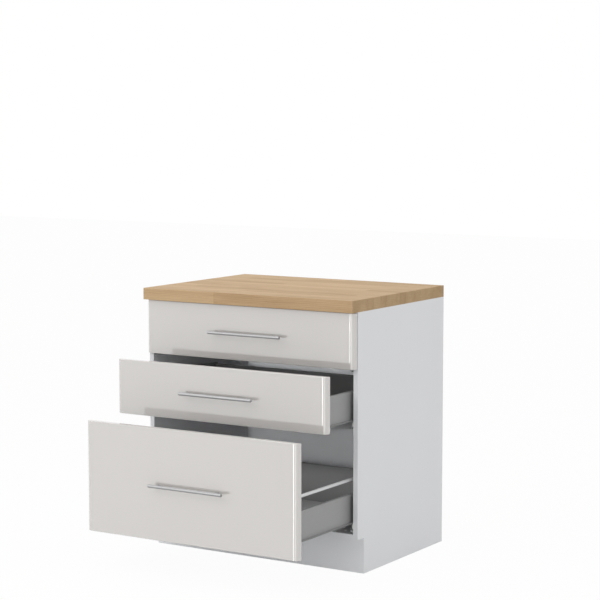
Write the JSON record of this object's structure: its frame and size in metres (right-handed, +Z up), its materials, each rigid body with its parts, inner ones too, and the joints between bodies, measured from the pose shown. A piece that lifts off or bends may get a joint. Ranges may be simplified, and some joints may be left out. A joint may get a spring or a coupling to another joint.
{
  "type": "kitchen base cabinet",
  "caption": "Kitchen base cabinet with a wood worktop, toe recess, deep and shallow pull-out drawers on roller runners, bar handles and a gallery rail in the deep drawer.",
  "frame": {"origin": "middle of the footprint on the floor, with the drawers pulled out as in the picture", "axes": "+X to the right seen from the front, +Y from the drawer fronts to the wall, +Z up"},
  "size_m": [0.8, 0.939, 0.87],
  "materials": {
    "white_board": "white melamine faced board, satin",
    "gloss_front": "high gloss foil on board",
    "oak_worktop": "oak stave pattern laminate, satin",
    "back_board": "thin white lacquered fibreboard",
    "base_laminate": "grey melamine faced board",
    "beech_dowel": "grooved beech, raw",
    "drawer_steel": "grey powder coat, fine satin",
    "runner_steel": "epoxy coated steel",
    "rail_steel": "light grey powder coat",
    "handle_steel": "brushed, fine lengthwise lines",
    "zinc": "bright zinc plate",
    "roller_plastic": "moulded nylon",
    "holder_plastic": "grey moulded plastic"
  },
  "bodies": {
    "cabinet": {"side_panel_left": "white_board", "side_panel_right": "white_board", "bottom_panel": "white_board", "front_stretcher": "white_board", "rear_stretcher": "white_board", "back_panel": "back_board", "plinth_board": "white_board", "worktop": "oak_worktop", "wood_dowels": "beech_dowel", "cam_housings": "zinc", "cam_bolts": "zinc", "worktop_screws": "zinc", "back_panel_nails": "zinc", "runner_screws": "zinc", "runner_top_left": "runner_steel", "runner_top_right": "runner_steel", "runner_middle_left": "runner_steel", "runner_middle_right": "runner_steel", "runner_bottom_left": "runner_steel", "runner_bottom_right": "runner_steel"},
    "drawer_top": {"drawer_front_top": "gloss_front", "handle_top": "handle_steel", "drawer_side_top_left": "drawer_steel", "drawer_side_top_right": "drawer_steel", "drawer_base_top": "base_laminate", "rear_wall_top": "drawer_steel", "front_brackets_top": "zinc", "drawer_fixings_top": "zinc"},
    "drawer_middle": {"drawer_front_middle": "gloss_front", "handle_middle": "handle_steel", "drawer_side_middle_left": "drawer_steel", "drawer_side_middle_right": "drawer_steel", "drawer_base_middle": "base_laminate", "rear_wall_middle": "drawer_steel", "front_brackets_middle": "zinc", "drawer_fixings_middle": "zinc"},
    "drawer_bottom": {"drawer_front_bottom": "gloss_front", "handle_bottom": "handle_steel", "drawer_side_bottom_left": "drawer_steel", "drawer_side_bottom_right": "drawer_steel", "drawer_base_bottom": "base_laminate", "rear_wall_bottom": "drawer_steel", "front_brackets_bottom": "zinc", "drawer_fixings_bottom": "zinc", "gallery_rail_left": "rail_steel", "gallery_rail_right": "rail_steel", "gallery_rail_holders": "holder_plastic"},
    "front_roller_top_left": {"front_roller_top_left": "roller_plastic"},
    "front_roller_top_right": {"front_roller_top_right": "roller_plastic"},
    "rear_roller_top_left": {"rear_roller_top_left": "roller_plastic"},
    "rear_roller_top_right": {"rear_roller_top_right": "roller_plastic"},
    "front_roller_middle_left": {"front_roller_middle_left": "roller_plastic"},
    "front_roller_middle_right": {"front_roller_middle_right": "roller_plastic"},
    "rear_roller_middle_left": {"rear_roller_middle_left": "roller_plastic"},
    "rear_roller_middle_right": {"rear_roller_middle_right": "roller_plastic"},
    "front_roller_bottom_left": {"front_roller_bottom_left": "roller_plastic"},
    "front_roller_bottom_right": {"front_roller_bottom_right": "roller_plastic"},
    "rear_roller_bottom_left": {"rear_roller_bottom_left": "roller_plastic"},
    "rear_roller_bottom_right": {"rear_roller_bottom_right": "roller_plastic"}
  },
  "joints": [
    {"name": "drawer_top_slide", "type": "slide", "parent": "cabinet", "child": "drawer_top", "axis": [0, -1, 0], "range_m": [0, 0.38]},
    {"name": "drawer_middle_slide", "type": "slide", "parent": "cabinet", "child": "drawer_middle", "axis": [0, -1, 0], "range_m": [-0.162, 0.218]},
    {"name": "drawer_bottom_slide", "type": "slide", "parent": "cabinet", "child": "drawer_bottom", "axis": [0, -1, 0], "range_m": [-0.326, 0.054]},
    {"name": "front_roller_top_left_spin", "type": "hinge", "parent": "cabinet", "child": "front_roller_top_left", "pos_m": [-0.3776, -0.0785, 0.6573], "axis": [1, 0, 0], "range_deg": [-8, 1987.3]},
    {"name": "front_roller_top_right_spin", "type": "hinge", "parent": "cabinet", "child": "front_roller_top_right", "pos_m": [0.3776, -0.0785, 0.6573], "axis": [1, 0, 0], "range_deg": [-8, 1987.3]},
    {"name": "rear_roller_top_left_spin", "type": "hinge", "parent": "drawer_top", "child": "rear_roller_top_left", "pos_m": [-0.3784, 0.3915, 0.6551], "axis": [1, 0, 0], "range_deg": [-8, 1987.3]},
    {"name": "rear_roller_top_right_spin", "type": "hinge", "parent": "drawer_top", "child": "rear_roller_top_right", "pos_m": [0.3784, 0.3915, 0.6551], "axis": [1, 0, 0], "range_deg": [-8, 1987.3]},
    {"name": "front_roller_middle_left_spin", "type": "hinge", "parent": "cabinet", "child": "front_roller_middle_left", "pos_m": [-0.3776, -0.0785, 0.4788], "axis": [1, 0, 0], "range_deg": [-851.8, 1143.5]},
    {"name": "front_roller_middle_right_spin", "type": "hinge", "parent": "cabinet", "child": "front_roller_middle_right", "pos_m": [0.3776, -0.0785, 0.4788], "axis": [1, 0, 0], "range_deg": [-851.8, 1143.5]},
    {"name": "rear_roller_middle_left_spin", "type": "hinge", "parent": "drawer_middle", "child": "rear_roller_middle_left", "pos_m": [-0.3784, 0.2295, 0.4766], "axis": [1, 0, 0], "range_deg": [-851.8, 1143.5]},
    {"name": "rear_roller_middle_right_spin", "type": "hinge", "parent": "drawer_middle", "child": "rear_roller_middle_right", "pos_m": [0.3784, 0.2295, 0.4766], "axis": [1, 0, 0], "range_deg": [-851.8, 1143.5]},
    {"name": "front_roller_bottom_left_spin", "type": "hinge", "parent": "cabinet", "child": "front_roller_bottom_left", "pos_m": [-0.3776, -0.0785, 0.1538], "axis": [1, 0, 0], "range_deg": [-1706, 289.3]},
    {"name": "front_roller_bottom_right_spin", "type": "hinge", "parent": "cabinet", "child": "front_roller_bottom_right", "pos_m": [0.3776, -0.0785, 0.1538], "axis": [1, 0, 0], "range_deg": [-1706, 289.3]},
    {"name": "rear_roller_bottom_left_spin", "type": "hinge", "parent": "drawer_bottom", "child": "rear_roller_bottom_left", "pos_m": [-0.3784, 0.0655, 0.1516], "axis": [1, 0, 0], "range_deg": [-1706, 289.3]},
    {"name": "rear_roller_bottom_right_spin", "type": "hinge", "parent": "drawer_bottom", "child": "rear_roller_bottom_right", "pos_m": [0.3784, 0.0655, 0.1516], "axis": [1, 0, 0], "range_deg": [-1706, 289.3]}
  ],
  "couplings": [
    {"joint": "front_roller_top_left_spin", "follows": "drawer_top_slide", "rad_per_m": 90.909},
    {"joint": "front_roller_top_right_spin", "follows": "drawer_top_slide", "rad_per_m": 90.909},
    {"joint": "rear_roller_top_left_spin", "follows": "drawer_top_slide", "rad_per_m": 90.909},
    {"joint": "rear_roller_top_right_spin", "follows": "drawer_top_slide", "rad_per_m": 90.909},
    {"joint": "front_roller_middle_left_spin", "follows": "drawer_middle_slide", "rad_per_m": 90.909},
    {"joint": "front_roller_middle_right_spin", "follows": "drawer_middle_slide", "rad_per_m": 90.909},
    {"joint": "rear_roller_middle_left_spin", "follows": "drawer_middle_slide", "rad_per_m": 90.909},
    {"joint": "rear_roller_middle_right_spin", "follows": "drawer_middle_slide", "rad_per_m": 90.909},
    {"joint": "front_roller_bottom_left_spin", "follows": "drawer_bottom_slide", "rad_per_m": 90.909},
    {"joint": "front_roller_bottom_right_spin", "follows": "drawer_bottom_slide", "rad_per_m": 90.909},
    {"joint": "rear_roller_bottom_left_spin", "follows": "drawer_bottom_slide", "rad_per_m": 90.909},
    {"joint": "rear_roller_bottom_right_spin", "follows": "drawer_bottom_slide", "rad_per_m": 90.909}
  ]
}
